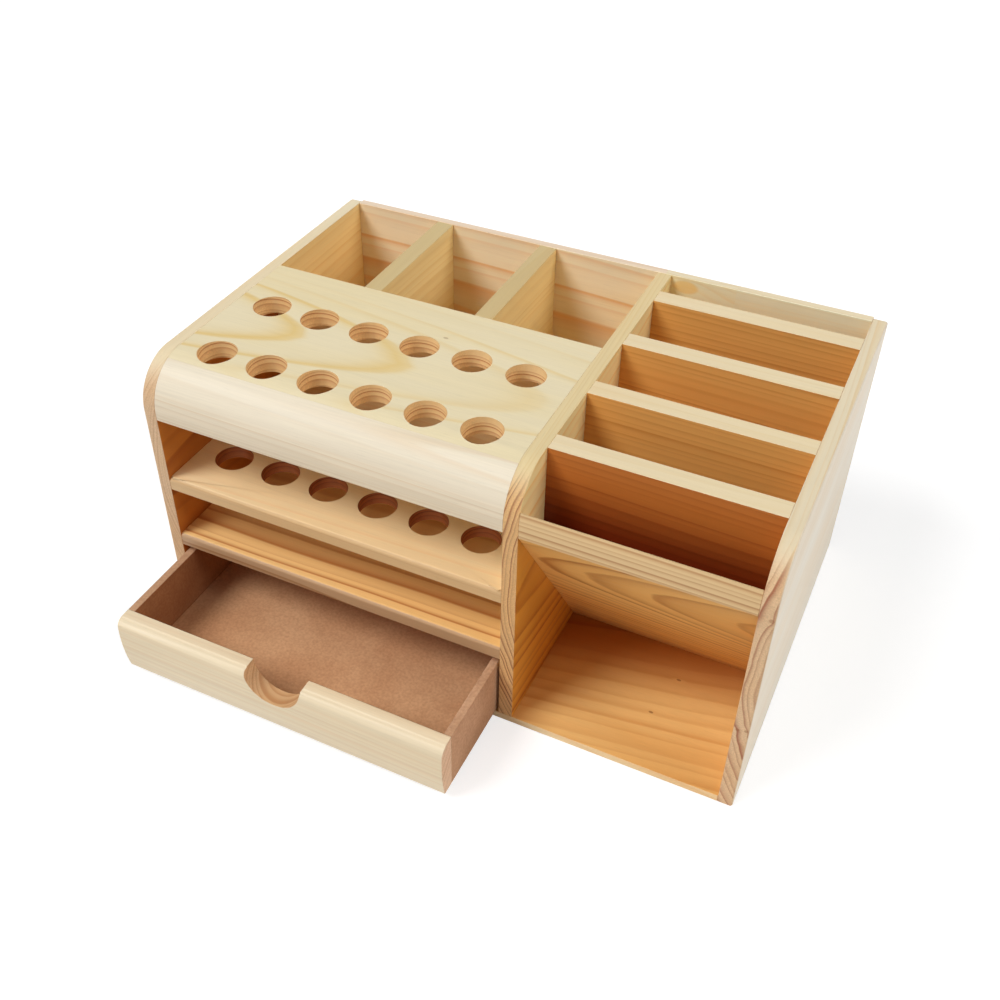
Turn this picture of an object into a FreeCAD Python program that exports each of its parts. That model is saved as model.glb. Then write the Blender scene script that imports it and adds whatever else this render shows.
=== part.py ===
"""Wooden desk tool organiser: a pine cabinet with a drawer, and five slots over a bin beside it.

Frame: millimetres, +Z up, +X to the right seen from the front, -Y towards the user.
The origin is the centre of the cabinet's underside. The drawer stands partly open.
"""
import FreeCAD
import Part
import math
import os
import Sketcher

os.makedirs("parts", exist_ok=True)
doc = FreeCAD.newDocument("ToolOrganiser")

# ---------------------------------------------------------------- driving dimensions (mm, degrees)
SIZES = {
    "overall_width": 320.0,       # outside, over both side panels
    "overall_depth": 206.5,       # front edge of the panels to the outside of the back
    "overall_height": 156.0,      # top of all panels and dividers
    "panel_thick": 7.5,           # side panels and middle panel
    "back_thick": 5.0,            # back panel, set between the side panels
    "base_thick": 4.0,            # base board, set between the side panels
    "front_radius": 25.0,         # round of the top front corner
    "rear_radius": 3.0,           # round of the top rear corner of the side panels
    "edge_round": 1.2,            # eased outer edge of the side panels
    "cabinet_width": 189.5,       # clear width between left and middle panels
    "top_thick": 10.0,            # bored top board
    "apron_depth": 16.0,          # curved front strip, front to back
    "apron_height": 29.5,         # curved front strip, top to bottom
    "shelf_thick": 7.5,           # both shelves
    "shelf_round": 2.0,           # eased front edge of the shelves
    "drawer_bay_height": 39.5,    # clear height for the drawer
    "shelf_bay_height": 31.0,     # clear height between the two shelves
    "wall_thick": 7.5,            # cross wall in front of the rear compartments
    "compartment_depth": 85.3,    # rear compartments, front to back
    "left_compartment": 53.4,     # width of the left rear compartment
    "middle_compartment": 55.5,   # width of the middle rear compartment
    "rear_divider_thick": 10.0,   # dividers between the rear compartments
    "tool_hole": 20.0,            # diameter of the tool holes
    "tool_pitch": 29.0,           # tool holes, centre to centre along a row
    "tool_margin": 20.5,          # left panel to the centre of the first hole
    "tool_row_front": 28.9,       # front edge to the centres of the front row
    "tool_row_gap": 48.4,         # front row to rear row, centre to centre
    "rear_slot_depth": 19.1,      # narrow slot at the back
    "slot_depth": 36.2,           # wide slots, front to back
    "slot_divider_thick": 11.0,   # dividers between the slots
    "bin_board_thick": 9.0,       # slanted board behind the bin
    "bin_board_angle": 34.0,      # its lean from the vertical, degrees
    "bin_mouth_height": 126.0,    # height of its lower front edge
    "drawer_height": 34.5,        # drawer front and sides
    "drawer_side_gap": 1.5,       # running gap at each side of the drawer
    "drawer_lift": 0.5,           # running gap over the base board
    "drawer_rear_gap": 0.5,       # gap to the back panel when the drawer is shut
    "drawer_front_thick": 10.0,   # drawer front at its fullest
    "drawer_side_thick": 4.0,     # drawer side boards
    "drawer_back_thick": 4.0,     # drawer back board
    "drawer_bottom_thick": 3.0,   # drawer bottom sheet
    "drawer_face_radius": 98.0,   # long curve of the drawer's face
    "drawer_face_crest": 22.5,    # height of the fullest point of the face
    "drawer_top_round": 4.5,      # round between the face and the top edge
    "notch_radius": 16.0,         # finger notch in the drawer front
    "drawer_opening": 59.0,       # how far the drawer stands open
}
sheet = doc.addObject("Spreadsheet::Sheet", "Sizes")
for row, (alias, value) in enumerate(SIZES.items(), start=1):
    sheet.set("A%d" % row, alias)
    sheet.set("B%d" % row, str(value))
    sheet.setAlias("B%d" % row, alias)
doc.recompute()

# Places that several pieces share, as formulas on the sheet.
LEFT = "-Sizes.overall_width / 2"
RIGHT = "Sizes.overall_width / 2"
FRONT = "-Sizes.overall_depth / 2"
CABINET_LEFT = "(%s + Sizes.panel_thick)" % LEFT
MIDDLE_LEFT = "(%s + Sizes.cabinet_width)" % CABINET_LEFT
SLOTS_LEFT = "(%s + Sizes.panel_thick)" % MIDDLE_LEFT
SLOTS_WIDTH = "(%s - Sizes.panel_thick - %s)" % (RIGHT, SLOTS_LEFT)
ARC_HEIGHT = "(Sizes.overall_height - Sizes.front_radius)"

# The back panel stands between the side panels. Depths are measured from the front edge.
INSIDE_DEPTH = "(Sizes.overall_depth - Sizes.back_thick)"
BACK_FACE = "(%s + %s)" % (FRONT, INSIDE_DEPTH)
WALL_REAR = "(%s - Sizes.compartment_depth)" % INSIDE_DEPTH

DRAWER_BAY_TOP = "(Sizes.base_thick + Sizes.drawer_bay_height)"
PLAIN_SHELF_TOP = "(%s + Sizes.shelf_thick)" % DRAWER_BAY_TOP
BORED_SHELF_LOW = "(%s + Sizes.shelf_bay_height)" % PLAIN_SHELF_TOP

# The drawer runs in its bay with a gap all round. Its face is the fullest point of the curved front.
DRAWER_WIDTH = "(Sizes.cabinet_width - 2 * Sizes.drawer_side_gap)"
DRAWER_LEFT = "(%s + Sizes.drawer_side_gap)" % CABINET_LEFT
DRAWER_LOW = "(Sizes.base_thick + Sizes.drawer_lift)"
DRAWER_FACE = "(%s - Sizes.drawer_opening)" % FRONT
DRAWER_LENGTH = "(%s - Sizes.drawer_rear_gap)" % INSIDE_DEPTH
DRAWER_BOX_FRONT = "(%s + Sizes.drawer_front_thick)" % DRAWER_FACE
DRAWER_BOX_LENGTH = "(%s - Sizes.drawer_front_thick)" % DRAWER_LENGTH

# As many holes in a row as fit between equal margins.
TOOLS_PER_ROW = "(floor((Sizes.cabinet_width - 2 * Sizes.tool_margin) / Sizes.tool_pitch) + 1)"

sub_parts = []


def size(text):
    """The present value of a formula on the sheet."""
    found = sheet.evalExpression(text)
    return float(getattr(found, "Value", found))


def place(piece, x="0", y="0", z="0"):
    for axis, text in zip("xyz", (x, y, z)):
        piece.setExpression("Placement.Base.%s" % axis, text)


def board(label, x, y, z, width, depth, height, kept=True):
    """A flat board with square edges."""
    piece = doc.addObject("Part::Box", label)
    piece.Label = label
    for prop, text in (("Length", width), ("Width", depth), ("Height", height)):
        piece.setExpression(prop, text)
    place(piece, x, y, z)
    if kept:
        sub_parts.append(piece)
    return piece


def new_body(label, x, y, z):
    body = doc.addObject("PartDesign::Body", label)
    body.Label = label
    place(body, x, y, z)
    sub_parts.append(body)
    return body


def sketch_on(body, role, name):
    sketch = body.newObject("Sketcher::SketchObject", name)
    plane = [item for item in body.Origin.OriginFeatures if item.Role == role][0]
    sketch.AttachmentSupport = (plane, "")
    sketch.MapMode = "FlatFace"
    return sketch


def hold(sketch, geometry, point, across, up):
    """Tie one point of a sketch to its place, across and up from the sketch's origin."""
    for kind, axis, text in (("DistanceX", -2, across), ("DistanceY", -1, up)):
        if text == "0":
            sketch.addConstraint(Sketcher.Constraint("PointOnObject", geometry, point, axis))
            continue
        number = sketch.addConstraint(Sketcher.Constraint(kind, -1, 1, geometry, point, size(text)))
        sketch.setExpression("Constraints[%d]" % number, text)


def hold_size(sketch, kind, geometry, text):
    """Set the radius or diameter of one arc or circle."""
    number = sketch.addConstraint(Sketcher.Constraint(kind, geometry, size(text)))
    sketch.setExpression("Constraints[%d]" % number, text)


def outline(sketch, corners):
    """Draw a closed outline through the corners, which run anticlockwise.

    A corner is (across, up), or (across, up, radius) where an arc of that radius, bulging outwards,
    leaves it for the next corner.
    """
    points = [FreeCAD.Vector(size(corner[0]), size(corner[1]), 0) for corner in corners]
    for index, corner in enumerate(corners):
        start, end = points[index], points[(index + 1) % len(points)]
        if len(corner) == 2:
            sketch.addGeometry(Part.LineSegment(start, end), False)
            continue
        radius = size(corner[2])
        chord = end - start
        middle = (start + end) * 0.5
        outwards = FreeCAD.Vector(chord.y, -chord.x, 0).normalize()
        rise = radius - math.sqrt(radius ** 2 - (chord.Length / 2) ** 2)
        sketch.addGeometry(Part.Arc(start, middle + outwards * rise, end), False)
    for index, corner in enumerate(corners):
        following = (index + 1) % len(corners)
        ends = [end_of(sketch, index, points[index]), end_of(sketch, index, points[following])]
        begins = end_of(sketch, following, points[following])
        sketch.addConstraint(Sketcher.Constraint("Coincident", index, ends[1], following, begins))
    for index, corner in enumerate(corners):
        hold(sketch, index, end_of(sketch, index, points[index]), corner[0], corner[1])
        if len(corner) == 3:
            hold_size(sketch, "Radius", index, corner[2])


def end_of(sketch, geometry, point):
    """Which end of a line or arc lies at the point: 1 for its start, 2 for its end."""
    return min((1, 2), key=lambda end: sketch.getPoint(geometry, end).distanceToPoint(point))


def pad(body, sketch, length, name):
    feature = body.newObject("PartDesign::Pad", name)
    feature.Profile = sketch
    feature.setExpression("Length", length)
    doc.recompute()
    return feature


def profile_body(label, x, y, z, width, corners):
    """A piece with one outline from side to side, drawn looking along -X: across is +Y, up is +Z."""
    body = new_body(label, x, y, z)
    sketch = sketch_on(body, "YZ_Plane", label + "_outline")
    outline(sketch, corners)
    pad(body, sketch, width, label + "_pad")
    return body


def round_edges(body, name, radius, wanted):
    """Round the edges of the body's shape that the test picks out."""
    base = body.Tip
    names = ["Edge%d" % (i + 1) for i, edge in enumerate(base.Shape.Edges) if wanted(edge)]
    feature = body.newObject("PartDesign::Fillet", name)
    feature.Base = (base, names)
    feature.setExpression("Radius", radius)
    doc.recompute()
    return feature


def cut_through(body, sketch, name, reverse=False):
    """Pocket a sketch through the whole body and make sure that wood went."""
    before = body.Shape.Volume
    feature = body.newObject("PartDesign::Pocket", name)
    feature.Profile = sketch
    feature.Type = "ThroughAll"
    feature.Midplane = False
    feature.Reversed = reverse
    doc.recompute()
    if body.Shape.Volume >= before - 1.0:
        raise RuntimeError("%s cuts nothing" % name)
    return feature


def bore_tool_holes(body, label):
    """Two rows of through holes: one hole of each row is cut, and the pair is repeated along X."""
    sketch = sketch_on(body, "XY_Plane", label + "_holes")
    rows = ("Sizes.tool_row_front", "Sizes.tool_row_front + Sizes.tool_row_gap")
    for number, row_place in enumerate(rows):
        centre = FreeCAD.Vector(size("Sizes.tool_margin"), size(row_place), 0)
        circle = Part.Circle(centre, FreeCAD.Vector(0, 0, 1), size("Sizes.tool_hole / 2"))
        sketch.addGeometry(circle, False)
        hold(sketch, number, 3, "Sizes.tool_margin", row_place)
        hold_size(sketch, "Diameter", number, "Sizes.tool_hole")
    pocket = cut_through(body, sketch, label + "_first_holes", reverse=True)
    pattern = body.newObject("PartDesign::LinearPattern", label + "_rows")
    pattern.Originals = [pocket]
    pattern.Direction = (sketch, ["H_Axis"])
    pattern.setExpression("Occurrences", TOOLS_PER_ROW)
    pattern.setExpression("Length", "Sizes.tool_pitch * (%s - 1)" % TOOLS_PER_ROW)
    body.Tip = pattern
    doc.recompute()


# ---------------------------------------------------------------- upright panels
FRONT_ROUND = [("Sizes.front_radius", "Sizes.overall_height", "Sizes.front_radius"), ("0", ARC_HEIGHT)]


def side_panel(label, x, outer_face):
    """An outside panel: its outline has the large front round and a small rear one."""
    corners = [
        ("0", "0"),
        ("Sizes.overall_depth", "0"),
        ("Sizes.overall_depth", "Sizes.overall_height - Sizes.rear_radius", "Sizes.rear_radius"),
        ("Sizes.overall_depth - Sizes.rear_radius", "Sizes.overall_height"),
    ]
    body = profile_body(label, x, FRONT, "0", "Sizes.panel_thick", corners + FRONT_ROUND)
    face = size(outer_face)

    def on_outer_face(edge):
        box = edge.BoundBox
        return abs(box.XMin - face) < 0.01 and abs(box.XMax - face) < 0.01 and box.ZMax > 0.01

    round_edges(body, label + "_eased", "Sizes.edge_round", on_outer_face)


side_panel("left_side_panel", LEFT, "0")
side_panel("right_side_panel", RIGHT + " - Sizes.panel_thick", "Sizes.panel_thick")

# Between the side panels everything stands on the base board and stops at the back panel.
inner_corners = [
    ("0", "Sizes.base_thick"),
    (INSIDE_DEPTH, "Sizes.base_thick"),
    (INSIDE_DEPTH, "Sizes.overall_height"),
]
profile_body("middle_panel", MIDDLE_LEFT, FRONT, "0", "Sizes.panel_thick", inner_corners + FRONT_ROUND)

inside_width = "Sizes.overall_width - 2 * Sizes.panel_thick"
board("back_panel", CABINET_LEFT, BACK_FACE, "0",
      inside_width, "Sizes.back_thick", "Sizes.overall_height")
board("base_board", CABINET_LEFT, FRONT, "0", inside_width, INSIDE_DEPTH, "Sizes.base_thick")

# ---------------------------------------------------------------- cabinet: top, apron, shelves
# The front round runs on from the apron over the first few millimetres of the top board.
seam_from_centre = "(Sizes.front_radius - Sizes.apron_depth)"
seam_height = "(%s + sqrt(Sizes.front_radius ^ 2 - %s ^ 2))" % (ARC_HEIGHT, seam_from_centre)
apron_low = "(Sizes.overall_height - Sizes.apron_height)"
apron_corners = [
    ("0", apron_low),
    ("Sizes.apron_depth", apron_low),
    ("Sizes.apron_depth", seam_height, "Sizes.front_radius"),
    ("0", ARC_HEIGHT),
]
profile_body("front_apron", CABINET_LEFT, FRONT, "0", "Sizes.cabinet_width", apron_corners)

top_low = "(Sizes.overall_height - Sizes.top_thick)"
top_corners = [
    ("Sizes.apron_depth", top_low),
    (WALL_REAR, top_low),
    (WALL_REAR, "Sizes.overall_height"),
    ("Sizes.front_radius", "Sizes.overall_height", "Sizes.front_radius"),
    ("Sizes.apron_depth", seam_height),
]
top_board = profile_body("top_board", CABINET_LEFT, FRONT, "0", "Sizes.cabinet_width", top_corners)
bore_tool_holes(top_board, "top_board")


def shelf_corners(low, rear):
    """A shelf with an eased upper front edge."""
    high = "(%s + Sizes.shelf_thick)" % low
    return [
        ("0", low),
        (rear, low),
        (rear, high),
        ("Sizes.shelf_round", high, "Sizes.shelf_round"),
        ("0", "%s - Sizes.shelf_round" % high),
    ]


profile_body("plain_shelf", CABINET_LEFT, FRONT, "0", "Sizes.cabinet_width",
             shelf_corners(DRAWER_BAY_TOP, INSIDE_DEPTH))
bored_shelf = profile_body("bored_shelf", CABINET_LEFT, FRONT, "0", "Sizes.cabinet_width",
                           shelf_corners(BORED_SHELF_LOW, "(%s - Sizes.wall_thick)" % WALL_REAR))
bore_tool_holes(bored_shelf, "bored_shelf")

# ---------------------------------------------------------------- cabinet: rear compartments
board("cross_wall", CABINET_LEFT, "%s + %s - Sizes.wall_thick" % (FRONT, WALL_REAR), PLAIN_SHELF_TOP,
      "Sizes.cabinet_width", "Sizes.wall_thick", "%s - %s" % (top_low, PLAIN_SHELF_TOP))
first_divider = "(%s + Sizes.left_compartment)" % CABINET_LEFT
second_divider = "(%s + Sizes.rear_divider_thick + Sizes.middle_compartment)" % first_divider
rear_divider_height = "Sizes.overall_height - %s" % PLAIN_SHELF_TOP
for label, x in (("rear_divider_left", first_divider), ("rear_divider_right", second_divider)):
    board(label, x, "%s + %s" % (FRONT, WALL_REAR), PLAIN_SHELF_TOP,
          "Sizes.rear_divider_thick", "Sizes.compartment_depth", rear_divider_height)

# ---------------------------------------------------------------- slots and bin
# The slanted board leans back from the front edge down to the base board. Its rear face is a line that
# would meet the front edge at slant_top; the slot dividers in its way stand on it.
slant_top = "(Sizes.bin_mouth_height + Sizes.bin_board_thick / sin(Sizes.bin_board_angle))"
slant_foot = "((Sizes.bin_mouth_height - Sizes.base_thick) * tan(Sizes.bin_board_angle))"
slab_corners = [
    (slant_foot, "Sizes.base_thick"),
    ("%s + Sizes.bin_board_thick / cos(Sizes.bin_board_angle)" % slant_foot, "Sizes.base_thick"),
    ("0", slant_top),
    ("0", "Sizes.bin_mouth_height"),
]
slab = profile_body("slanted_slab", SLOTS_LEFT, FRONT, "0", SLOTS_WIDTH, slab_corners)
slots_side = profile_body("slots_side", SLOTS_LEFT, FRONT, "0", SLOTS_WIDTH,
                          inner_corners + FRONT_ROUND)
wedge_corners = [("0", "0"), ("%s * tan(Sizes.bin_board_angle)" % slant_top, "0"), ("0", slant_top)]
wedge = profile_body("slanted_wedge", SLOTS_LEFT, FRONT, "0", SLOTS_WIDTH, wedge_corners)
for helper in (slab, slots_side, wedge):
    sub_parts.remove(helper)

bin_board = doc.addObject("Part::Common", "bin_slanted_board")
bin_board.Label = "bin_slanted_board"
bin_board.Base = slab
bin_board.Tool = slots_side
sub_parts.append(bin_board)

front_of_divider = "(%s - Sizes.rear_slot_depth - Sizes.slot_divider_thick)" % BACK_FACE
for number in range(1, 5):
    label = "slot_divider_%d" % number
    full = board(label + "_full", SLOTS_LEFT, front_of_divider, "Sizes.base_thick", SLOTS_WIDTH,
                 "Sizes.slot_divider_thick", "Sizes.overall_height - Sizes.base_thick", kept=False)
    divider = doc.addObject("Part::Cut", label)
    divider.Label = label
    divider.Base = full
    divider.Tool = wedge
    sub_parts.append(divider)
    front_of_divider = "(%s - Sizes.slot_depth - Sizes.slot_divider_thick)" % front_of_divider

# ---------------------------------------------------------------- drawer
# The face is one long curve, fullest at the crest, with a small round up to the flat top edge.
curve, ease = "Sizes.drawer_face_radius", "Sizes.drawer_top_round"
ease_rise = "(Sizes.drawer_height - %s - Sizes.drawer_face_crest)" % ease
ease_centre = "(%s - sqrt((%s - %s) ^ 2 - %s ^ 2))" % (curve, curve, ease, ease_rise)
stretch = "(%s / (%s - %s))" % (curve, curve, ease)
face_low = "(%s - sqrt(%s ^ 2 - Sizes.drawer_face_crest ^ 2))" % (curve, curve)
face_corners = [
    (face_low, "0"),
    ("Sizes.drawer_front_thick", "0"),
    ("Sizes.drawer_front_thick", "Sizes.drawer_height"),
    (ease_centre, "Sizes.drawer_height", ease),
    ("%s + (%s - %s) * %s" % (curve, ease_centre, curve, stretch),
     "Sizes.drawer_face_crest + %s * %s" % (ease_rise, stretch), curve),
]
drawer_front = profile_body("drawer_front", DRAWER_LEFT, DRAWER_FACE, DRAWER_LOW, DRAWER_WIDTH,
                            face_corners)

notch = sketch_on(drawer_front, "XZ_Plane", "finger_notch")
notch_centre = FreeCAD.Vector(size(DRAWER_WIDTH + " / 2"), size("Sizes.drawer_height"), 0)
notch.addGeometry(Part.Circle(notch_centre, FreeCAD.Vector(0, 0, 1), size("Sizes.notch_radius")), False)
hold(notch, 0, 3, DRAWER_WIDTH + " / 2", "Sizes.drawer_height")
hold_size(notch, "Radius", 0, "Sizes.notch_radius")
cut_through(drawer_front, notch, "finger_notch_cut")

drawer_right = "(%s + %s - Sizes.drawer_side_thick)" % (DRAWER_LEFT, DRAWER_WIDTH)
for label, x in (("drawer_left_side", DRAWER_LEFT), ("drawer_right_side", drawer_right)):
    board(label, x, DRAWER_BOX_FRONT, DRAWER_LOW,
          "Sizes.drawer_side_thick", DRAWER_BOX_LENGTH, "Sizes.drawer_height")
between_sides = "(%s - 2 * Sizes.drawer_side_thick)" % DRAWER_WIDTH
inner_length = "(%s - Sizes.drawer_back_thick)" % DRAWER_BOX_LENGTH
drawer_back_place = "%s + %s" % (DRAWER_BOX_FRONT, inner_length)
board("drawer_back", DRAWER_LEFT + " + Sizes.drawer_side_thick", drawer_back_place, DRAWER_LOW,
      between_sides, "Sizes.drawer_back_thick", "Sizes.drawer_height")
board("drawer_bottom", DRAWER_LEFT + " + Sizes.drawer_side_thick", DRAWER_BOX_FRONT, DRAWER_LOW,
      between_sides, inner_length, "Sizes.drawer_bottom_thick")

# ---------------------------------------------------------------- check and write
doc.recompute()
for item in doc.Objects:
    if "Invalid" in item.State or "Error" in item.State:
        raise RuntimeError("%s is %s" % (item.Name, item.State))
for piece in sub_parts:
    shape = piece.Shape
    if shape.isNull() or not shape.isValid() or len(shape.Solids) != 1:
        raise RuntimeError("%s has no single valid solid" % piece.Label)
for piece in sub_parts:
    piece.Shape.exportStep("parts/%s.step" % piece.Label)
    box = piece.Shape.BoundBox
    print("%-20s %7.1f %7.1f %7.1f  to %7.1f %7.1f %7.1f  volume %8.0f" % (
        piece.Label, box.XMin, box.YMin, box.ZMin, box.XMax, box.YMax, box.ZMax, piece.Shape.Volume))
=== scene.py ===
# A pine organiser for the bench: a cabinet with a drawer, shelves and a bored tool rack on the left, and
# five upright slots over an open bin on the right. Every board is cut, eased with sandpaper and glued.
import math

import bmesh
import bpy
from mathutils import Matrix, Vector


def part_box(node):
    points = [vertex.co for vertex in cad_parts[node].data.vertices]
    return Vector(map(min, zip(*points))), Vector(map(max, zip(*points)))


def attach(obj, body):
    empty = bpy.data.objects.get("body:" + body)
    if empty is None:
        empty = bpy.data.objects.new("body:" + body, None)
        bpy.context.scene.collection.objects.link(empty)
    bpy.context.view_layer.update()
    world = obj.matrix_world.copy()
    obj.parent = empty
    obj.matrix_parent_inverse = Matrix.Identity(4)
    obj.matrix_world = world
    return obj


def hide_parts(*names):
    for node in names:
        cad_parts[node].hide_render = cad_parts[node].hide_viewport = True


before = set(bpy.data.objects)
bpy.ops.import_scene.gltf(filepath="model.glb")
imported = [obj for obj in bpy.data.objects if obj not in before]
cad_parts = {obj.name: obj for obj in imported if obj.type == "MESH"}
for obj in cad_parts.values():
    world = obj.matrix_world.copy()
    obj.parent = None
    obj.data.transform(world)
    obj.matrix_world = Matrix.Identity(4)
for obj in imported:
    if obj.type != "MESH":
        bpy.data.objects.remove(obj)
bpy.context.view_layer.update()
scene = bpy.context.scene


# ---------------------------------------------------------------- side panels
# The two outer panels carry every other board. Solid pine, 7.5 mm, with the grain from front to back, so
# that the front edge shows end grain. The top front corner is a 25 mm round and the rear one is just
# knocked off. The other boards are glued between them.
def block(low, high):
    """A squared-up board between two corners."""
    bm = bmesh.new()
    bmesh.ops.create_cube(bm, size=1)
    bmesh.ops.scale(bm, vec=high - low, verts=bm.verts)
    bmesh.ops.translate(bm, vec=(low + high) / 2, verts=bm.verts)
    return bm


def round_off(bm, radius, segments, wanted):
    """Round over every edge that the test picks out."""
    edges = [edge for edge in bm.edges if wanted(edge)]
    bmesh.ops.bevel(bm, geom=edges, offset=radius, offset_type="OFFSET", segments=segments, profile=0.5,
                    affect="EDGES", clamp_overlap=False, material=-1)


def ease(bm, radius=0.0003):
    """Take the sharpness off every edge that is left, as sandpaper does."""
    round_off(bm, radius, 2, lambda edge: edge.is_manifold and edge.calc_face_angle() > math.radians(32))


HAIR = 1e-5  # two places nearer than this are one
SLACK = 1e-4  # how far off its round a flat facet may lie


def edge_at(y, z):
    """A test for the edges that run from side to side at one place."""
    def lies_there(edge):
        return all(abs(vert.co.y - y) < HAIR and abs(vert.co.z - z) < HAIR for vert in edge.verts)

    return lies_there


def plain_board(node):
    """A board that is only squared up and eased."""
    bm = block(*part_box(node))
    ease(bm)
    return bm


def cut(bm, point, way):
    """Mark a board along a plane, so that its two parts can have different finishes."""
    bmesh.ops.bisect_plane(bm, geom=bm.verts[:] + bm.edges[:] + bm.faces[:], plane_co=point, plane_no=way)


def saw_off(bm, point, way):
    """Take off all that lies past a plane, and close the end."""
    sawn = bmesh.ops.bisect_plane(bm, geom=bm.verts[:] + bm.edges[:] + bm.faces[:], plane_co=point,
                                  plane_no=way, clear_outer=True)
    rim = [item for item in sawn["geom_cut"] if isinstance(item, bmesh.types.BMEdge)]
    bmesh.ops.holes_fill(bm, edges=rim)


FRONT_RADIUS = 0.025
REAR_RADIUS = 0.003
OUTER_EASE = 0.0012
FINE_EASE = 0.0002


def settle(bm, node, body, slot, *finishes):
    """Turn the shaped board into the piece that stands in for the node."""
    bmesh.ops.recalc_face_normals(bm, faces=bm.faces)
    mesh = bpy.data.meshes.new(node + "_board")
    bm.to_mesh(mesh)
    bm.free()
    mesh.shade_smooth()
    for finish in finishes:
        mesh.materials.append(finish)
    board = bpy.data.objects.new(node + "_board", mesh)
    scene.collection.objects.link(board)
    facing = board.modifiers.new("flat faces stay flat", "WEIGHTED_NORMAL")
    facing.keep_sharp = True
    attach(board, body)
    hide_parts(node)


def paint(red, green, blue):
    """A colour as it is read off a swatch, 0 to 255, made linear."""
    parts = [value / 255 for value in (red, green, blue)]
    linear = [value / 12.92 if value <= 0.04045 else ((value + 0.055) / 1.055) ** 2.4 for value in parts]
    return linear + [1]


def add(tree, kind, inputs=None, **settings):
    """Add a shader node; an input is a socket to join or a value to set."""
    made = tree.nodes.new("ShaderNode" + kind)
    for key, value in settings.items():
        setattr(made, key, value)
    for key, value in (inputs or {}).items():
        if isinstance(value, bpy.types.NodeSocket):
            tree.links.new(value, made.inputs[key])
        else:
            made.inputs[key].default_value = value
    return made


def sums(tree, operation, first, second=0.0, third=0.0):
    """One step of arithmetic on numbers."""
    return add(tree, "Math", {0: first, 1: second, 2: third}, operation=operation).outputs[0]


def vectors(tree, operation, first, second=(0, 0, 0), out="Vector"):
    """One step of arithmetic on places and directions."""
    return add(tree, "VectorMath", {0: first, 1: second}, operation=operation).outputs[out]


def mixed(tree, amount, first, second, blend="MIX"):
    """Two colours mixed by an amount."""
    node = add(tree, "Mix", {0: amount, 6: first, 7: second}, data_type="RGBA", blend_type=blend)
    return node.outputs[2]


def stained(tree, colour, stain):
    """A colour with a second one laid over it, as a stain darkens wood."""
    return mixed(tree, 1.0, colour, stain, "MULTIPLY")


def grey(tree, value):
    """The grey that is as light as a number."""
    return add(tree, "CombineColor", {0: value, 1: value, 2: value}).outputs[0]


def ranged(tree, value, low, high, new_low, new_high, smooth=False):
    """A number carried over from one range to another, and held to it."""
    inputs = {"Value": value, "From Min": low, "From Max": high, "To Min": new_low, "To Max": new_high}
    kind = "SMOOTHSTEP" if smooth else "LINEAR"
    return add(tree, "MapRange", inputs, interpolation_type=kind, clamp=True).outputs["Result"]


def noise(tree, place, scale, detail=2.0, out="Fac"):
    """Soft noise, stretched by three numbers of cycles per metre."""
    stretched = vectors(tree, "MULTIPLY", place, scale)
    return add(tree, "TexNoise", {"Vector": stretched, "Scale": 1.0, "Detail": detail}).outputs[out]


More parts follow.
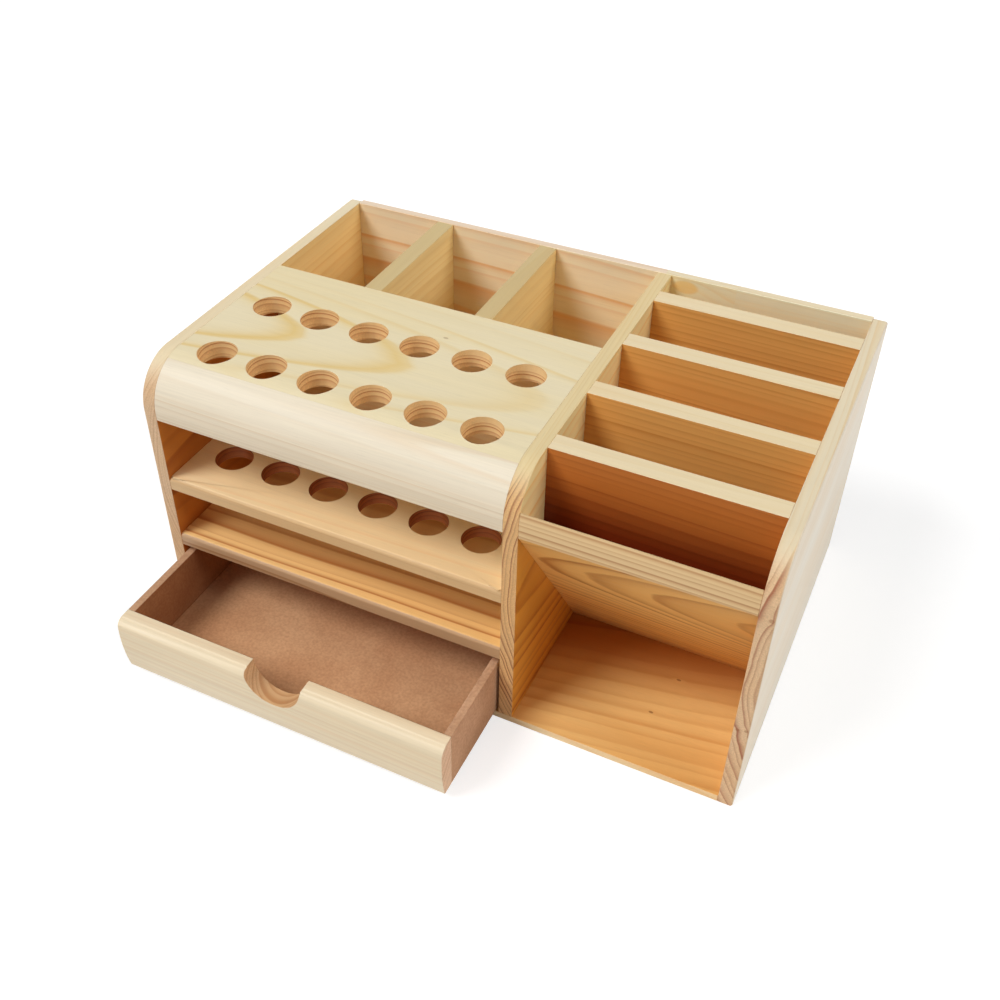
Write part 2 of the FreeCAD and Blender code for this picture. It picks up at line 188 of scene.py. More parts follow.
def make_sawn_pine():
    """Growth rings in the round about the pith, which runs along the X axis of the wood.

    Any face that a board is cut to then shows the figure that it should: long lines on a quarter, flames
    on the flat, and arcs on the end. Faces turned the Outside way take their own colours as painted light,
    on most boards paler tops, lit from above, and end grain is darker and more pink. Painted shade
    darkens the wood round the pith, out to the Shade Reach.
    """
    tree = bpy.data.node_groups.new("sawn_pine", "ShaderNodeTree")
    wanted = {"Vector": ("Wood", "Grain", "Outside"),
              "Float": ("Ring", "Wander", "Shiver", "Swirl", "Strength", "Fibre", "Shade Reach", "Sharp", "Calm"),
              "Color": ("Face", "Face Late", "Painted Light", "Painted Light Late", "End", "End Late", "Drift",
                        "Shade Stain")}
    for kind, names in wanted.items():
        for name in names:
            tree.interface.new_socket(name, in_out="INPUT", socket_type="NodeSocket" + kind)
    for name, kind in (("Colour", "Color"), ("Relief", "Float"), ("Roughness", "Float")):
        tree.interface.new_socket(name, in_out="OUTPUT", socket_type="NodeSocket" + kind)
    given = tree.nodes.new("NodeGroupInput").outputs
    wood = given["Wood"]

    # No tree grows quite straight: the rings wander, slowly along the trunk and faster across it.
    def astray(cycles, amount):
        """How far the rings are pushed sideways, at so many cycles per metre."""
        sway = vectors(tree, "SUBTRACT", noise(tree, wood, cycles, 2.0, "Color"), (0.5, 0.5, 0.5))
        across = vectors(tree, "MULTIPLY", sway, (0, 1, 1))
        return add(tree, "VectorMath", {0: across, "Scale": amount}, operation="SCALE").outputs[0]

    moved = vectors(tree, "ADD", vectors(tree, "ADD", wood, astray((2.5, 11, 11), given["Wander"])),
                    astray((9, 70, 70), given["Shiver"]))
    flat = vectors(tree, "MULTIPLY", moved, (0, 1, 1))
    radius = sums(tree, "ADD", vectors(tree, "LENGTH", flat, out="Value"), given["Swirl"])

    # The year rings: pale early wood that darkens to a hard edge, no two years the same.
    turns = sums(tree, "DIVIDE", radius, given["Ring"])
    uneven = add(tree, "TexNoise", {"W": sums(tree, "MULTIPLY", turns, 0.41), "Scale": 1.0, "Detail": 1.0},
                 noise_dimensions="1D").outputs["Fac"]
    count = sums(tree, "MULTIPLY_ADD", uneven, 1.7, turns)
    within = sums(tree, "FRACT", count)
    ramp = add(tree, "ValToRGB", {"Fac": within})
    stops = ramp.color_ramp.elements
    stops[0].position, stops[0].color = 0.0, (0, 0, 0, 1)
    stops[1].position, stops[1].color = 1.0, (0, 0, 0, 1)
    for place, value in ((0.35, 0.08), (0.62, 0.42), (0.84, 1.0), (0.92, 0.85)):
        stop = stops.new(place)
        stop.color = (value, value, value, 1)
    year = sums(tree, "FLOOR", count)
    each = add(tree, "TexWhiteNoise", {"W": year}, noise_dimensions="1D").outputs["Value"]
    band = sums(tree, "POWER", ramp.outputs["Color"], given["Sharp"])
    ring = sums(tree, "MULTIPLY", band, ranged(tree, each, 0, 1, 0.3, 1.0))
    beside = sums(tree, "ABSOLUTE", add(tree, "SeparateXYZ", {0: wood}).outputs["Y"])
    calm = ranged(tree, sums(tree, "DIVIDE", beside, given["Calm"]), 0.8, 1.3, 1, 0.2, smooth=True)
    late = sums(tree, "MULTIPLY", sums(tree, "MULTIPLY", ring, given["Strength"]), calm)

    # Fibres, short dark resin ducts, and slow drifts of colour.
    fibre = noise(tree, wood, (30, 1100, 1100), 3.0)
    duct = ranged(tree, noise(tree, wood, (110, 1700, 1700), 1.0), 0.62, 0.8, 0, 1)
    drift = ranged(tree, noise(tree, wood, (4, 26, 26), 3.0), 0.35, 0.7, 0, 1, smooth=True)
    streak = noise(tree, wood, (9, 240, 240), 2.0)

    # Which kind of surface this is: end grain, turned the Outside way for painted light, or as the plane
    # left it.
    normal = add(tree, "NewGeometry").outputs["Normal"]
    outward = vectors(tree, "DOT_PRODUCT", normal, given["Outside"], out="Value")
    painted_light = ranged(tree, outward, 0.25, 0.62, 0, 1, smooth=True)
    end = sums(tree, "ABSOLUTE", vectors(tree, "DOT_PRODUCT", normal, given["Grain"], out="Value"))
    end = ranged(tree, end, 0.35, 0.95, 0, 1, smooth=True)

    face = mixed(tree, late, given["Face"], given["Face Late"])
    pale = mixed(tree, late, given["Painted Light"], given["Painted Light Late"])
    across = mixed(tree, late, given["End"], given["End Late"])
    pores = ranged(tree, noise(tree, wood, (1500, 1500, 1500), 1.0), 0.3, 0.7, 0.88, 1.06)
    across = stained(tree, across, grey(tree, pores))
    colour = mixed(tree, end, mixed(tree, painted_light, face, pale), across)
    colour = mixed(tree, sums(tree, "MULTIPLY", drift, 0.5), colour, stained(tree, colour, given["Drift"]))

    # Painted shade: the wood round the pith, out to the Shade Reach, is darkened by the Shade Stain.
    inner = sums(tree, "DIVIDE", sums(tree, "SUBTRACT", given["Shade Reach"], radius), 0.022)
    inner = ranged(tree, inner, 0, 1, 0, 1, smooth=True)
    colour = mixed(tree, inner, colour, stained(tree, colour, given["Shade Stain"]))

    # The fibres lighten and darken all of it, and the ducts are dark.
    lift = sums(tree, "ADD", sums(tree, "SUBTRACT", fibre, 0.5),
                sums(tree, "MULTIPLY", sums(tree, "SUBTRACT", streak, 0.5), 0.9))
    lift = sums(tree, "MULTIPLY_ADD", lift, given["Fibre"], 1.0)
    lift = sums(tree, "SUBTRACT", lift, sums(tree, "MULTIPLY", duct, 0.06))
    colour = stained(tree, colour, grey(tree, lift))

    relief = sums(tree, "MULTIPLY_ADD", ring, 0.4, sums(tree, "MULTIPLY", fibre, 0.6))
    dull = sums(tree, "MULTIPLY_ADD", end, 0.2, ranged(tree, fibre, 0.3, 0.7, 0.42, 0.54))
    dull = sums(tree, "SUBTRACT", dull, sums(tree, "MULTIPLY", ring, 0.06))
    output = tree.nodes.new("NodeGroupOutput").inputs
    for name, socket in (("Colour", colour), ("Relief", relief), ("Roughness", dull)):
        tree.links.new(socket, output[name])
    return tree


sawn_pine = make_sawn_pine()
GRAIN_TURN = {"X": (0, 0, 0), "Y": (0, 0, 90)}
GRAIN_WAY = {"X": (1, 0, 0), "Y": (0, 1, 0)}
# CREAM is the usual painted light for faces turned the Outside way: paler tops, lit from above.
CREAM, CREAM_LATE = (236, 222, 190), (228, 200, 150)
AMBER, AMBER_LATE = (228, 184, 122), (194, 128, 64)
END, END_LATE = (224, 190, 152), (178, 112, 72)


def pine(name, grain, pith, lean=(0, 0), ring=2.2, wander=4.0, shiver=0.7, strength=0.8, fibre=0.10,
         face=(AMBER, AMBER_LATE), painted_light=(CREAM, CREAM_LATE), end=(END, END_LATE), drift=(250, 234, 210),
         outside=(0, 0, 1), shade_reach=0, shade_stain=(190, 140, 120), knots=(), knot_colour=(120, 66, 34),
         sharp=1.0, calm=1000):
    """A board of pine.

    grain is the way that the trunk ran, pith a point in its middle, lean how many degrees off the grain
    the board was cut, and ring, wander and shiver the width of a ring and how far it strays, all in mm.
    outside is the way that the faces with painted light look, painted_light their two colours (painted
    light, on most boards paler tops, lit from above), shade_reach how far round the pith the wood is
    painted darker as painted shade, shade_stain the colour of that painted shade, knots a list of (place,
    size, depth of colour), sharp how abruptly the dark wood of each ring sets in, and calm how far to
    either side of the pith the rings show plainly.
    """
    finish = bpy.data.materials.new(name)
    finish.use_nodes = True
    tree = finish.node_tree
    tree.nodes.clear()
    place = add(tree, "TexCoord").outputs["Object"]
    turn = Vector(GRAIN_TURN[grain]) + Vector((0, lean[0], lean[1]))
    trunk = {"Vector": place, "Location": [value / 1000 for value in pith],
             "Rotation": [math.radians(value) for value in turn]}
    wood = add(tree, "Mapping", trunk, vector_type="TEXTURE")
    swirl, dark = 0.0, 0.0
    stretch = [0.55 if way else 1.0 for way in GRAIN_WAY[grain]]
    for spot, size, depth in knots:
        offset = vectors(tree, "SUBTRACT", place, [value / 1000 for value in spot])
        offset = vectors(tree, "MULTIPLY", offset, [value * 1000 / size for value in stretch])
        away = vectors(tree, "LENGTH", offset, out="Value")
        swirl = sums(tree, "ADD", swirl, ranged(tree, away, 0, 4.5, size / 1000, 0, smooth=True))
        rim = sums(tree, "MULTIPLY", ranged(tree, away, 0.75, 1.15, 1, 0, smooth=True), depth)
        dark = sums(tree, "MAXIMUM", dark, rim)
    wooden = add(tree, "Group", node_tree=sawn_pine)
    tree.links.new(wood.outputs["Vector"], wooden.inputs["Wood"])
    values = {"Grain": GRAIN_WAY[grain], "Outside": Vector(outside).normalized(), "Ring": ring / 1000,
              "Wander": wander / 1000, "Shiver": shiver / 1000, "Face": paint(*face[0]),
              "Face Late": paint(*face[1]), "Painted Light": paint(*painted_light[0]), "Painted Light Late": paint(*painted_light[1]),
              "End": paint(*end[0]), "End Late": paint(*end[1]), "Strength": strength, "Fibre": fibre,
              "Drift": paint(*drift), "Shade Reach": shade_reach / 1000, "Shade Stain": paint(*shade_stain), "Sharp": sharp,
              "Calm": calm / 1000}
    for key, value in values.items():
        wooden.inputs[key].default_value = value
    colour = wooden.outputs["Colour"]
    if knots:
        tree.links.new(swirl, wooden.inputs["Swirl"])
        colour = mixed(tree, dark, colour, paint(*knot_colour))
    bump = add(tree, "Bump", {"Height": wooden.outputs["Relief"], "Strength": 0.25, "Distance": 0.0002})
    shader = add(tree, "BsdfPrincipled", {"Base Color": colour, "Roughness": wooden.outputs["Roughness"],
                                          "Normal": bump.outputs["Normal"], "Specular IOR Level": 0.35})
    add(tree, "OutputMaterial", {"Surface": shader.outputs[0]})
    return finish


def side_panel(node, finish, outer_finish, front_finish):
    """One outer panel; front_finish is for its inner face in front of the cross wall."""
    low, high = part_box(node)
    bm = block(low, high)
    round_off(bm, FRONT_RADIUS, 22, edge_at(low.y, high.z))
    round_off(bm, REAR_RADIUS, 4, edge_at(high.y, high.z))
    outside = low.x if node.startswith("left") else high.x

    def outer(edge):
        """Whether an edge lies in the outer face."""
        return all(abs(vert.co.x - outside) < HAIR for vert in edge.verts)

    round_off(bm, OUTER_EASE, 4, lambda edge: outer(edge) and edge.calc_face_angle() > 1.0)
    ease(bm)
    way = 1 if outside == high.x else -1
    wall_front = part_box("cross_wall")[0].y
    cut(bm, (0, wall_front, 0), (0, 1, 0))
    for face in bm.faces:
        inner_front = face.normal.x * way < -0.9 and face.calc_center_median().y < wall_front
        face.material_index = 1 if face.normal.x * way > 0.55 else 2 * inner_front
    settle(bm, node, "carcass", "pine_panels", finish, outer_finish, front_finish)


# The wall of the open bays is painted darker and more orange than the rest of the left panel: painted shade,
# as the bays lie deep in shadow.
LEFT_WOOD = {"pith": (-40, 0, 90), "lean": (0.8, 1)}
side_panel("left_side_panel",
           pine("left_panel_pine", "Y", **LEFT_WOOD, ring=2.1, strength=0.5,
                face=((250, 218, 152), (232, 176, 102))),
           # The outer faces take greyish whites as their painted light: a painted reflection of the white
           # room at a grazing angle.
           pine("left_outer_face", "Y", **LEFT_WOOD, ring=2.1, outside=(-1, 0, 0),
                painted_light=((238, 226, 204), (230, 206, 168))),
           pine("left_bay_wall_painted_shade", "Y", **LEFT_WOOD, ring=3.1, face=((212, 130, 52), (166, 82, 24))))
RIGHT_WOOD = {"pith": (300, 0, 92), "lean": (1.5, 2), "ring": 3.6, "wander": 9}
side_panel("right_side_panel",
           pine("right_panel_pine", "Y", **RIGHT_WOOD, shiver=2.4, strength=0.95,
                painted_light=((232, 219, 190), (227, 204, 162)), end=((230, 196, 156), (160, 88, 58)),
                knots=[((154.5, -103, 54.4), 1.0, 0.6), ((158.3, -103, 55.2), 0.9, 0.5),
                       ((158.2, -103, 125.6), 1.2, 0.5)],
                knot_colour=(150, 92, 52)),
           # Greyish whites on the outer face: a painted reflection of the white room at a grazing angle.
           pine("right_outer_face", "Y", **RIGHT_WOOD, shiver=1.2, strength=0.5, outside=(1, 0, 0),
                painted_light=((238, 228, 210), (232, 212, 180))),
           pine("right_bin_wall", "Y", **RIGHT_WOOD, shiver=1.2))

# ---------------------------------------------------------------- middle panel
# The upright between cabinet and slots, of the same board and with the same round. Cut on the flat near
# the bark: its front edge shows the rings as a stack of long arcs. The wall of the bin is painted darker
# and more orange: painted shade, as the bin lies in shadow under the slanted board.
low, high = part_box("middle_panel")
bm = block(low, high)
round_off(bm, FRONT_RADIUS, 22, edge_at(low.y, high.z))
ease(bm, FINE_EASE)
SLANT = math.radians(34)
slant_low, slant_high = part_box("bin_slanted_board")
slant_foot = Vector((0, slant_high.y, slant_low.z))
slant_rear = Vector((0, math.cos(SLANT), math.sin(SLANT)))
cut(bm, slant_foot, slant_rear)
# Faces inside the bin take the second finish, a darker copy: painted shade.
for face in bm.faces:
    in_bin = (face.calc_center_median() - slant_foot).dot(slant_rear) < 0
    face.material_index = int(face.normal.x > 0.9 and in_bin)
PANEL_WOOD = {"pith": (190, 0, 95), "lean": (0.8, 2.2), "wander": 8, "shiver": 2.0}
settle(bm, "middle_panel", "carcass", "pine_panels",
       pine("middle_panel_pine", "Y", **PANEL_WOOD, ring=2.2, strength=1.0,
            face=((255, 239, 180), (250, 209, 126)), painted_light=((229, 210, 164), (224, 201, 150)),
            end=((232, 187, 130), (142, 70, 40))),
       pine("bin_wall_painted_shade", "Y", **PANEL_WOOD, ring=3.2, strength=1.0,
            face=((230, 166, 68), (174, 94, 24))))

# ---------------------------------------------------------------- back panel
# A thin panel of pine between the sides, of three staves glued end to end. The long one behind the
# cabinet is pink with bold rings; a short pale one has a knot at its end, and the last is cream.
STAVE_ENDS = (0.041, 0.081)
bm = plain_board("back_panel")
for end in STAVE_ENDS:
    cut(bm, (end, 0, 0), (1, 0, 0))
for face in bm.faces:
    face.material_index = sum(face.calc_center_median().x > end for end in STAVE_ENDS)
settle(bm, "back_panel", "carcass", "pine_panels",
       pine("long_stave_pine", "X", (0, 190, 66), lean=(1.0, 0.8), ring=6.0, wander=12, shiver=1.4,
            strength=0.9, face=((255, 238, 204), (242, 184, 120)),
            painted_light=((238, 216, 190), (226, 196, 164)), outside=(0, 1, 1)),
       pine("short_stave_pine", "X", (0, 60, 170), ring=3.0, wander=5, strength=0.5,
            face=((255, 246, 204), (250, 226, 166)), outside=(0, 1, 1),
            knots=[((53.0, 98, 150.5), 4.0, 0.6)], knot_colour=(252, 204, 100)),
       pine("last_stave_pine", "X", (0, 180, 60), ring=2.6, wander=5, strength=0.6,
            face=((255, 250, 214), (254, 238, 186)), outside=(0, 1, 1)))

# ---------------------------------------------------------------- base board
# The thin pine bottom, 4 mm, glued between the side panels and in front of the back: the floor of the bin
# and of the drawer's bay. The middle panel and the rear two slot dividers stand on it.
settle(plain_board("base_board"), "base_board", "carcass", "pine_boards",
       # The wood is painted darker round a pith below and behind: painted shade at the back of the bin
       # floor. Its front edge takes paler painted light.
       pine("base_board_pine", "X", (0, 10, -84), lean=(6, 2.4), ring=5.4, wander=12, shiver=2.0,
            strength=0.7, face=((242, 200, 130), (212, 150, 80)), drift=(246, 216, 174), outside=(0, -1, 0),
            painted_light=((246, 222, 178), (232, 190, 134)), shade_reach=124, shade_stain=(196, 142, 92),
            knots=[((113, -42.4, 4), 0.7, 0.6), ((106.9, -69.1, 4), 0.7, 0.6)]))

# ---------------------------------------------------------------- front apron
# The curved strip of pine along the front of the rack, glued between the panels. Quarter sawn: fine
# straight lines from end to end. It is moulded as a full 25 mm round and then sawn off behind.
low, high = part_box("front_apron")
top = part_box("top_board")[1].z
bm = block(low, Vector((high.x, low.y + 2 * FRONT_RADIUS, top)))
round_off(bm, FRONT_RADIUS, 26, edge_at(low.y, top))
saw_off(bm, (0, high.y, 0), (0, 1, 0))
ease(bm, FINE_EASE)
settle(bm, "front_apron", "carcass", "pine_boards",
       pine("apron_pine", "X", (0, -30, 60), lean=(0.3, 0.4), ring=1.7, wander=2, shiver=0.4, strength=0.6,
            face=((234, 219, 194), (216, 188, 150)), painted_light=((235, 223, 200), (222, 198, 163)),
            drift=(250, 244, 232), fibre=0.17))

# ---------------------------------------------------------------- top board of the rack
# A 10 mm board, sawn on the flat, with two rows of six 20 mm holes that hold tools upright. Pale, with
# a few wide flames; the bored walls show the rings edge on, and are darker.
HOLE_RADIUS = 0.010
FIRST_HOLE, HOLE_PITCH, HOLE_ROWS = -0.132, 0.029, (-0.07435, -0.02595)
HOLE_PLACES = [(FIRST_HOLE + HOLE_PITCH * number, row) for row in HOLE_ROWS for number in range(6)]


def bored_plate(low, high):
    """A plate with the twelve tool holes, drawn flat, filled and pulled up to its thickness."""
    bm = bmesh.new()
    corners = [bm.verts.new((x, y, low.z)) for x, y in
               ((low.x, low.y), (high.x, low.y), (high.x, high.y), (low.x, high.y))]
    for first, second in zip(corners, corners[1:] + corners[:1]):
        bm.edges.new((first, second))
    for x, y in HOLE_PLACES:
        bmesh.ops.create_circle(bm, cap_ends=False, segments=48, radius=HOLE_RADIUS,
                                matrix=Matrix.Translation((x, y, low.z)))
    bmesh.ops.triangle_fill(bm, use_beauty=True, use_dissolve=False, edges=bm.edges[:], normal=(0, 0, 1))
    grown = bmesh.ops.extrude_face_region(bm, geom=bm.faces[:])
    lifted = [item for item in grown["geom"] if isinstance(item, bmesh.types.BMVert)]
    bmesh.ops.translate(bm, vec=(0, 0, high.z - low.z), verts=lifted)
    return bm


def mark_bores(bm):
    """Give the walls of the holes the second finish."""
    for face in bm.faces:
        centre = face.calc_center_median()
        near = min(math.hypot(centre.x - x, centre.y - y) for x, y in HOLE_PLACES)
        face.material_index = int(abs(face.normal.z) < 0.4 and near < HOLE_RADIUS + SLACK)


low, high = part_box("top_board")
bm = bored_plate(low, high)
round_centre = Vector((0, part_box("middle_panel")[0].y + FRONT_RADIUS, high.z - FRONT_RADIUS))
ROUND_CUTS = 5
for step in range(1, ROUND_CUTS + 1):
    cut(bm, (0, low.y + (round_centre.y - low.y) * step / ROUND_CUTS, 0), (0, 1, 0))
for vert in bm.verts:
    if vert.co.z > low.z + SLACK and vert.co.y < round_centre.y:
        vert.co.z = round_centre.z + math.sqrt(FRONT_RADIUS ** 2 - (round_centre.y - vert.co.y) ** 2)
TOP_EASE = 0.00015
ease(bm, TOP_EASE)
mark_bores(bm)
RACK_WOOD = {"pith": (0, -43.5, -8.96), "lean": (1.7, 0), "ring": 2.1, "wander": 1.6, "shiver": 0.5}
BORED, BORED_LATE = (255, 224, 168), (192, 104, 46)
settle(bm, "top_board", "carcass", "pine_boards",
       pine("top_board_pine", "X", **RACK_WOOD, strength=0.9, sharp=2.0, calm=37,
            painted_light=((234, 220, 184), (226, 194, 120)), face=((234, 220, 184), (226, 194, 122)),
            drift=(252, 246, 226), knots=[((-36.8, -13.3, 156), 0.8, 0.35)]),
       pine("top_board_bores", "X", **{**RACK_WOOD, "ring": 2.6}, strength=1.0, face=(BORED, BORED_LATE),
            end=((252, 212, 150), (184, 96, 42))))

# ---------------------------------------------------------------- shelves
# Two 7.5 mm shelves with the front edge sanded round. The upper one is bored to match the rack, so
# that a tool stands through both; the lower one runs to the back, under the rear compartments.
SHELF_RADIUS = 0.002
low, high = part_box("bored_shelf")
bm = bored_plate(low, high)
round_off(bm, SHELF_RADIUS, 6, edge_at(low.y, high.z))
ease(bm)
mark_bores(bm)
SHELF_WOOD = {"pith": (0, -50, -60), "lean": (0.6, 0.3), "ring": 2.4, "wander": 3}
settle(bm, "bored_shelf", "carcass", "pine_boards",
       pine("bored_shelf_pine", "X", **SHELF_WOOD, strength=0.5, outside=(0, -1, 0),
            face=((255, 226, 178), (250, 204, 146)), painted_light=((220, 184, 136), (204, 156, 104))),
       # The walls of the bores are painted dark brown: painted shade in the holes under the rack.
       pine("bored_shelf_bores_painted_shade", "X", **SHELF_WOOD, strength=1.0, face=((180, 104, 56), (120, 56, 26)),
            end=((176, 100, 54), (114, 52, 24))))

low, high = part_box("plain_shelf")
bm = block(low, high)
round_off(bm, SHELF_RADIUS, 6, edge_at(low.y, high.z))
ease(bm)
settle(bm, "plain_shelf", "carcass", "pine_boards",
       pine("plain_shelf_pine", "X", (0, -20, -10), lean=(0.4, 1.0), ring=5.2, wander=12, shiver=1.6,
            strength=1.0, sharp=1.3, outside=(0, -1, 0), face=((255, 211, 143), (198, 122, 60)),
            painted_light=((196, 159, 122), (164, 115, 73))))

# ---------------------------------------------------------------- rear compartments
# A cross wall of pine under the rear edge of the rack, and two stout dividers glued between it and the
# back. None is shaped, beyond being squared up and eased.
settle(plain_board("cross_wall"), "cross_wall", "carcass", "pine_boards",
       pine("cross_wall_pine", "X", (0, 60, 20), ring=3.0, strength=0.6,
            face=((250, 208, 146), (224, 164, 96))))
for node, pith in (("rear_divider_left", (-160, 0, 20)), ("rear_divider_right", (50, 0, -10))):
    settle(plain_board(node), node, "carcass", "pine_boards",
           pine(node + "_pine", "Y", pith, lean=(2, 1), ring=4.5, wander=8, strength=0.5,
                face=((246, 220, 158), (228, 184, 110)), painted_light=((208, 186, 136), (200, 168, 106))))

# ---------------------------------------------------------------- slot dividers
# Four thick boards of pine, glued across the right side and flush with the panels on top. The front one
# is painted darkest, and darker still round its pith: painted shade, as its slot lies deep in shadow
# behind the slanted board. Their tops take paler painted light. The front two stand on the slanted
# board, so their feet are cut to its slope.
GOLD = ((238, 180, 99), (202, 130, 59))
TAN = ((250, 186, 102), (216, 137, 62))
# FRONT_SLOT_SHADE is a darker copy of the slot colours: painted shade for the deep front slot.
FRONT_SLOT_SHADE = ((197, 119, 51), (161, 83, 33))
for number, pith, ring, shade_reach, faces in ((1, (0, 10, 40), 2.6, 0, GOLD), (2, (0, 100, 55), 3.0, 0, GOLD),
                                         (3, (0, -90, 40), 2.8, 0, TAN), (4, (0, -38, 98), 3.0, 61, FRONT_SLOT_SHADE)):
    node = "slot_divider_%d" % number
    low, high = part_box(node)
    bm = block(Vector((low.x, low.y, slant_low.z)), high)
    if number > 2:
        saw_off(bm, slant_foot, -slant_rear)
    ease(bm, FINE_EASE)
    settle(bm, node, "carcass", "pine_boards",
           pine(node + "_pine", "X", pith, lean=(0.5, 0.5), ring=ring, wander=7, strength=0.68,
                face=faces, painted_light=((236, 218, 180), (231, 208, 160)), shade_reach=shade_reach,
                shade_stain=(146, 86, 58)))

# ---------------------------------------------------------------- slanted board behind the bin
# A 9 mm board that leans back from the front edge to the floor of the bin. Its top edge is sanded to the
# same round as the panels. Sawn on the flat: a nest of flames along the board.
SLANT_THICK = 0.009
MOUTH_HEIGHT = 0.126
floor_run, edge_rise = SLANT_THICK / math.cos(SLANT), SLANT_THICK / math.sin(SLANT)
section = [(slant_high.y - floor_run, slant_low.z), (slant_high.y, slant_low.z),
           (slant_low.y, MOUTH_HEIGHT + edge_rise), (slant_low.y, MOUTH_HEIGHT)]
bm = bmesh.new()
face = bm.faces.new([bm.verts.new((slant_low.x, y, z)) for y, z in section])
grown = bmesh.ops.extrude_face_region(bm, geom=[face])
bmesh.ops.translate(bm, vec=(slant_high.x - slant_low.x, 0, 0),
                    verts=[item for item in grown["geom"] if isinstance(item, bmesh.types.BMVert)])
bmesh.ops.recalc_face_normals(bm, faces=bm.faces)
for degrees in (2.5, 7.5, 12.5, 17.5, 22.5):
    way = Vector((0, -math.cos(math.radians(degrees)), math.sin(math.radians(degrees))))
    saw_off(bm, round_centre + way * FRONT_RADIUS, way)
ease(bm)
for face in bm.faces:
    face.material_index = int(face.normal.y < -0.5 and face.normal.z > -0.3)
settle(bm, "bin_slanted_board", "carcass", "pine_boards",
       pine("slanted_board_pine", "X", (110, 13.8, 167), lean=(2.8, -4.1), ring=2.5, wander=3.5,
            strength=0.9, outside=(0, 1, 0), face=((236, 182, 104), (162, 94, 34)),
            painted_light=((226, 168, 92), (168, 102, 44))),
       pine("slanted_board_edge", "X", (0, -40, 30), lean=(0.3, 0.3), ring=2.2, wander=2.5, strength=1.0,
            outside=(0, -1, 0.6), painted_light=((226, 193, 143), (178, 120, 68))))

# ---------------------------------------------------------------- drawer front
# One piece of pale pine, its face a long shallow curve with the top edge rounded over, and a half-round
# finger notch cut down from the middle of the top.
low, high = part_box("drawer_front")
NOTCH_RADIUS = 0.016
FACE_RADIUS = 0.098
TOP_RADIUS = 0.0045
TOP_SET_BACK = 0.0048
CREST_HEIGHT = 0.0225
ROUND_START = 0.00036  # above the centre of the top round, where it takes over from the long curve
CURVE_STEP = 0.0022
crest = low.z + CREST_HEIGHT
top_round = Vector((0, low.y + TOP_SET_BACK, high.z - TOP_RADIUS))


def face_depth(height):
    """How far the face lies behind its fullest line at a height."""
    if height > top_round.z + ROUND_START:
        return top_round.y - math.sqrt(max(0.0, TOP_RADIUS ** 2 - (height - top_round.z) ** 2)) - low.y
    return FACE_RADIUS - math.sqrt(FACE_RADIUS ** 2 - (height - crest) ** 2)


bm = bmesh.new()
middle = (low.x + high.x) / 2
outline = [(low.x, low.z), (high.x, low.z), (high.x, high.z)]
for degrees in range(0, 181, 6):
    turned = math.radians(degrees)
    outline.append((middle + NOTCH_RADIUS * math.cos(turned), high.z - NOTCH_RADIUS * math.sin(turned)))
outline.append((low.x, high.z))
face = bm.faces.new([bm.verts.new((x, high.y, z)) for x, z in outline])
grown = bmesh.ops.extrude_face_region(bm, geom=[face])
front = [item for item in grown["geom"] if isinstance(item, bmesh.types.BMVert)]
bmesh.ops.translate(bm, vec=(0, low.y - high.y, 0), verts=front)
heights = [low.z + CURVE_STEP * step for step in range(1, 14)]
heights += [top_round.z + TOP_RADIUS * math.sin(math.radians(degrees)) for degrees in range(8, 81, 12)]
for height in heights:
    cut(bm, (0, 0, height), (0, 0, 1))
for vert in bm.verts:
    if vert.co.y < low.y + HAIR:
        vert.co.y = low.y + face_depth(vert.co.z)
ease(bm)
for face in bm.faces:
    centre = face.calc_center_median()
    face.material_index = int(math.hypot(centre.x - middle, centre.z - high.z) < NOTCH_RADIUS + SLACK
                              and abs(face.normal.y) < 0.5)
FRONT_WOOD = {"pith": (0, -100, -30), "lean": (0.4, 0.6), "ring": 2.6, "wander": 4}
settle(bm, "drawer_front", "drawer", "pine_drawer_front",
       pine("drawer_front_pine", "X", **FRONT_WOOD, strength=0.55, face=((236, 220, 190), (222, 192, 152)),
            painted_light=((240, 224, 194), (228, 198, 158)), drift=(250, 242, 228), fibre=0.16,
            end=((230, 196, 164), (172, 108, 74))),
       pine("drawer_notch_wood", "X", **FRONT_WOOD, strength=1.0, outside=(0, 0, -1),
            face=((220, 180, 134), (190, 132, 82)), end=((224, 184, 140), (192, 136, 88))))

# ---------------------------------------------------------------- drawer box
# Sides, back and bottom of thin brown fibreboard, glued and left raw: dull and mottled. Inside, the walls
# are painted darker than their edges and outer faces: painted shade inside the drawer.
def fibreboard(name, dark, light):
    """Pressed wood fibre: soft clouds of two browns, and fine specks."""
    finish = bpy.data.materials.new(name)
    finish.use_nodes = True
    tree = finish.node_tree
    tree.nodes.clear()
    place = add(tree, "TexCoord").outputs["Object"]
    cloud = ranged(tree, noise(tree, place, (28, 28, 28), 4.0), 0.3, 0.7, 0, 1, smooth=True)
    speck = noise(tree, place, (700, 700, 700), 3.0)
    colour = mixed(tree, cloud, paint(*dark), paint(*light))
    smudge = ranged(tree, noise(tree, place, (60, 60, 60), 3.0), 0.58, 0.72, 0, 0.3, smooth=True)
    speckled = stained(tree, colour, paint(222, 212, 204))
    colour = mixed(tree, smudge, colour, speckled)
    colour = mixed(tree, ranged(tree, speck, 0.35, 0.7, 0, 0.6), colour, speckled)
    bump = add(tree, "Bump", {"Height": speck, "Strength": 0.25, "Distance": 0.0002})
    shader = add(tree, "BsdfPrincipled", {"Base Color": colour, "Roughness": 0.88,
                                          "Normal": bump.outputs["Normal"], "Specular IOR Level": 0.2})
    add(tree, "OutputMaterial", {"Surface": shader.outputs[0]})
    return finish


bare = fibreboard("brown_fibreboard", (190, 148, 114), (210, 168, 134))
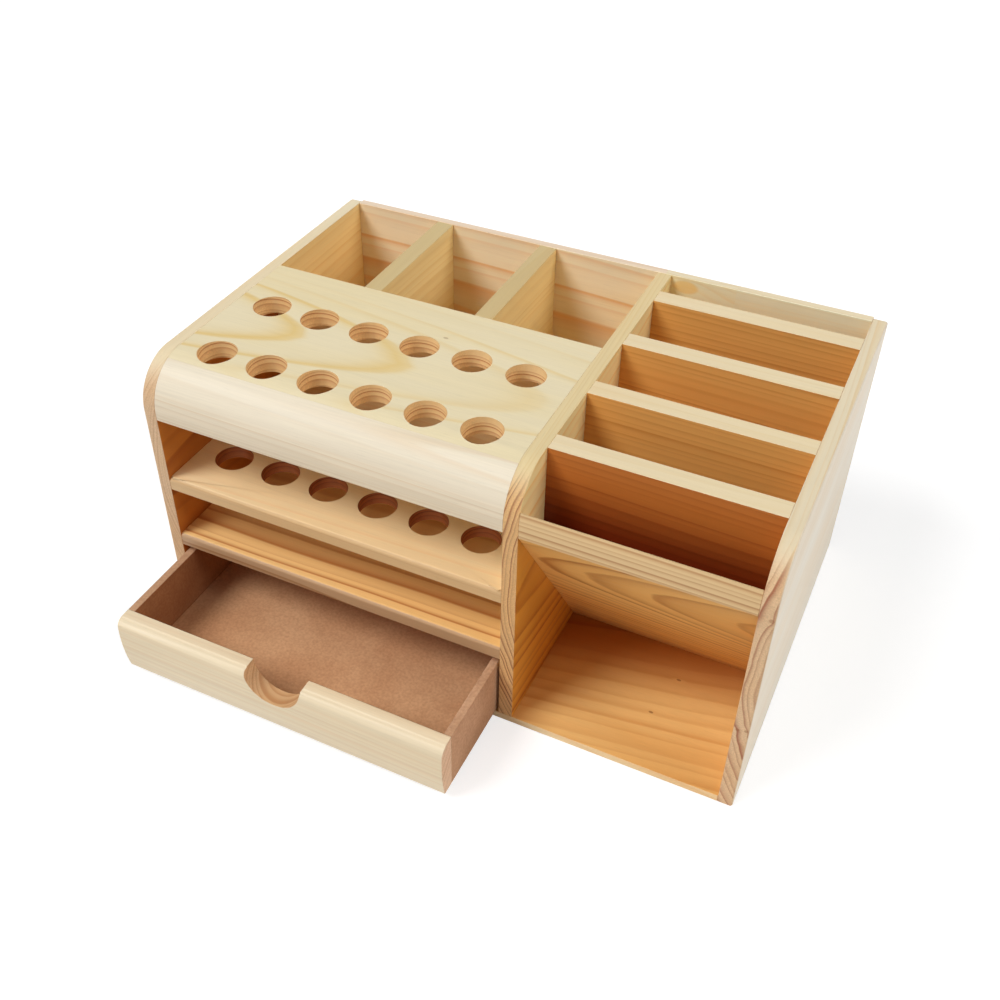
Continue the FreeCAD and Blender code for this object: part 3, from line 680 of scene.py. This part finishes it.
# A darker copy for the inner faces of the walls: painted shade.
inside_painted_shade = fibreboard("fibreboard_painted_shade", (160, 106, 68), (184, 126, 84))
clean = fibreboard("fibreboard_bottom", (203, 153, 112), (218, 171, 129))
inside = [(0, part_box("drawer_left_side")[1].x), (0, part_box("drawer_right_side")[0].x),
          (1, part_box("drawer_back")[0].y)]
for node in ("drawer_left_side", "drawer_right_side", "drawer_back"):
    bm = plain_board(node)
    for face in bm.faces:
        centre = face.calc_center_median()
        face.material_index = int(min(abs(centre[axis] - place) for axis, place in inside) < HAIR)
    settle(bm, node, "drawer", "brown_fibreboard", bare, inside_painted_shade)
settle(plain_board("drawer_bottom"), "drawer_bottom", "drawer", "brown_fibreboard", clean)

# ---------------------------------------------------------------- floor, light and camera
# A white table and a white room. A large soft lamp stands high on the left of the front, a weaker one low
# in front and one on the right; the eye is above the right of the front.
def seen_directly(tree):
    """1 for rays from the eye, or by way of a mirror or glass, and 0 for the light on the object."""
    path = add(tree, "LightPath").outputs
    either = sums(tree, "MAXIMUM", path["Is Glossy Ray"], path["Is Transmission Ray"])
    return sums(tree, "MAXIMUM", path["Is Camera Ray"], either)


floor_mesh = bpy.data.meshes.new("floor")
bm = bmesh.new()
TABLE_REACH, TABLE_DROP = 6, 0.0003
bmesh.ops.create_grid(bm, x_segments=1, y_segments=1, size=TABLE_REACH)
bmesh.ops.translate(bm, vec=(0, 0, -TABLE_DROP), verts=bm.verts)
bm.to_mesh(floor_mesh)
bm.free()
floor = bpy.data.objects.new("floor", floor_mesh)
scene.collection.objects.link(floor)
white = bpy.data.materials.new("white_table")
white.use_nodes = True
tree = white.node_tree
tree.nodes.clear()
seen = seen_directly(tree)
shader = add(tree, "BsdfPrincipled", {"Base Color": ranged(tree, seen, 0, 1, 0.85, 0.45), "Roughness": 0.9,
                                      "Specular IOR Level": 0.0, "Emission Color": (1, 1, 1, 1),
                                      "Emission Strength": ranged(tree, seen, 0, 1, 0, 0.70)})
add(tree, "OutputMaterial", {"Surface": shader.outputs[0]})
floor_mesh.materials.append(white)

ROOM_LIGHT, ROOM_SEEN = 0.13, 1.0
world = bpy.data.worlds.new("white_room")
world.use_nodes = True
scene.world = world
tree = world.node_tree
tree.nodes.clear()
light = add(tree, "Background", {"Color": (1, 1, 1, 1),
                                 "Strength": ranged(tree, seen_directly(tree), 0, 1, ROOM_LIGHT, ROOM_SEEN)})
add(tree, "OutputWorld", {"Surface": light.outputs[0]})


def soft_light(name, toward, spread, level):
    """Light from far off, as from a large soft box: the way that it stands, its spread and its level."""
    data = bpy.data.lights.new(name, "SUN")
    data.angle = math.radians(spread)
    data.energy = level * math.pi
    lamp = bpy.data.objects.new(name, data)
    lamp.rotation_euler = (-Vector(toward)).to_track_quat("-Z", "Y").to_euler()
    scene.collection.objects.link(lamp)


soft_light("key", (-0.44, -0.45, 0.78), 26, 0.65)
soft_light("front", (-0.20, -0.91, 0.36), 30, 0.075)
soft_light("side", (0.79, 0.10, 0.60), 40, 0.43)

around, above, roll = math.radians(25.58), math.radians(39.23), math.radians(0.389)
right = Vector((math.cos(around), math.sin(around), 0))
back = Vector((math.sin(around) * math.cos(above), -math.cos(around) * math.cos(above), math.sin(above)))
up = back.cross(right)
right, up = right * math.cos(roll) + up * math.sin(roll), up * math.cos(roll) - right * math.sin(roll)
camera_data = bpy.data.cameras.new("eye")
SENSOR, LENS_TO_SENSOR = 36, 1.160
camera_data.sensor_width = SENSOR
camera_data.lens = SENSOR * LENS_TO_SENSOR
camera_data.shift_x = 0.0201
camera_data.shift_y = -0.0198
camera_data.clip_start = 0.01
camera = bpy.data.objects.new("eye", camera_data)
EYE_PLACE = (0.1932, -0.45305, 0.4690)
camera.matrix_world = Matrix.Translation(EYE_PLACE) @ Matrix((right, up, back)).transposed().to_4x4()
scene.collection.objects.link(camera)
scene.camera = camera
scene.view_settings.view_transform = "Standard"
